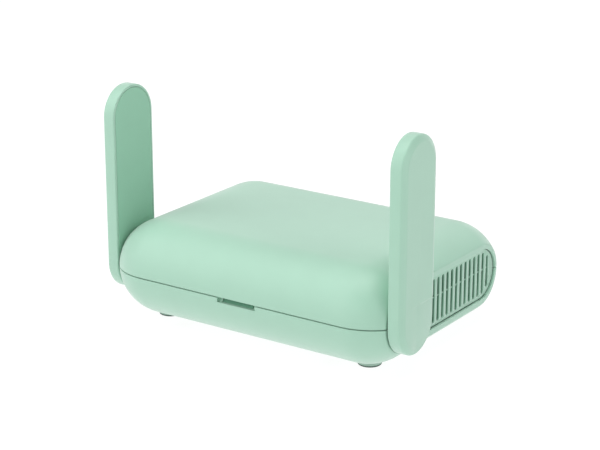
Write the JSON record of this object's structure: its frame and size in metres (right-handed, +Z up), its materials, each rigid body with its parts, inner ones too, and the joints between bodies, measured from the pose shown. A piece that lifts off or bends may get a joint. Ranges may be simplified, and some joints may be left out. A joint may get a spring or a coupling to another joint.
{
  "type": "wifi range extender",
  "caption": "Palm-sized Wi-Fi router and range extender: pillow-shaped casing with side grilles, back ports and folding paddle antennas.",
  "frame": {"origin": "on the surface that the feet stand on, under the middle of the body", "axes": "+Z up, -Y towards the front with the status light, +X to the right seen from the front"},
  "size_m": [0.1196, 0.0846, 0.0803],
  "materials": {
    "mint": "fine matt moulded plastic, pale mint green",
    "grille": "fine matt moulded plastic, mint green",
    "rubber": "matt grey rubber",
    "light": "milky translucent plastic",
    "dark": "matt black moulded plastic",
    "board": "green solder mask over laminate",
    "chip": "matt moulded resin",
    "pad": "soft grey-blue silicone",
    "steel": "tinned steel",
    "zinc": "zinc-plated steel",
    "sink": "clear anodised",
    "coax": "black jacket",
    "brass": "gilt brass and enamelled copper"
  },
  "bodies": {
    "casing": {"top_cover": "mint", "bottom_cover": "mint", "grille_plate_left": "grille", "grille_plate_right": "grille", "port_panel": "grille", "foot_front_left": "rubber", "foot_front_right": "rubber", "foot_back_left": "rubber", "foot_back_right": "rubber", "case_screw_front_left": "zinc", "case_screw_front_right": "zinc", "case_screw_back_left": "zinc", "case_screw_back_right": "zinc", "board_screw_front_left": "zinc", "board_screw_front_right": "zinc", "board_screw_back_left": "zinc", "board_screw_back_right": "zinc", "fan_screw_front": "zinc", "fan_screw_back": "zinc", "light_pipe": "light", "status_led": "light", "lan_jack": "dark", "wan_jack": "dark", "reset_switch": "dark", "mode_switch": "dark", "hinge_bush_left": "dark", "hinge_bush_right": "dark", "fan_frame": "dark", "heatsink_pin_left": "dark", "heatsink_pin_right": "dark", "usb_a_jack": "steel", "usb_c_jack": "steel", "rf_shield": "steel", "main_board": "board", "processor": "chip", "memory_chip": "chip", "wifi_chip": "chip", "thermal_pad": "pad", "heatsink": "sink", "coax_left": "coax", "coax_right": "coax", "coax_plug_left": "brass", "coax_plug_right": "brass", "fan_stator": "brass"},
    "antenna_left": {"antenna_shell_left": "mint", "antenna_cover_left": "mint", "antenna_element_left": "board", "hinge_clip_left": "steel", "hinge_washer_left": "steel"},
    "antenna_right": {"antenna_shell_right": "mint", "antenna_cover_right": "mint", "antenna_element_right": "board", "hinge_clip_right": "steel", "hinge_washer_right": "steel"},
    "fan_rotor": {"fan_rotor": "dark"},
    "reset_button": {"reset_button": "mint"},
    "mode_slider": {"mode_slider": "mint"}
  },
  "joints": [
    {"name": "antenna_left_fold", "type": "hinge", "parent": "casing", "child": "antenna_left", "pos_m": [-0.0545, -0.026, 0.0181], "axis": [-1, 0, 0], "range_deg": [0, 90]},
    {"name": "antenna_right_fold", "type": "hinge", "parent": "casing", "child": "antenna_right", "pos_m": [0.0545, -0.026, 0.0181], "axis": [-1, 0, 0], "range_deg": [0, 90]},
    {"name": "fan_spin", "type": "hinge", "parent": "casing", "child": "fan_rotor", "pos_m": [0, -0.0025, 0.023], "axis": [0, 0, 1], "continuous": true},
    {"name": "reset_press", "type": "slide", "parent": "casing", "child": "reset_button", "axis": [0, -1, 0], "range_m": [0, 0.0008], "stiffness_N_per_m": 800, "springref_m": -0.0004},
    {"name": "mode_slide", "type": "slide", "parent": "casing", "child": "mode_slider", "axis": [0, 1, 0], "range_m": [0, 0.002]}
  ]
}
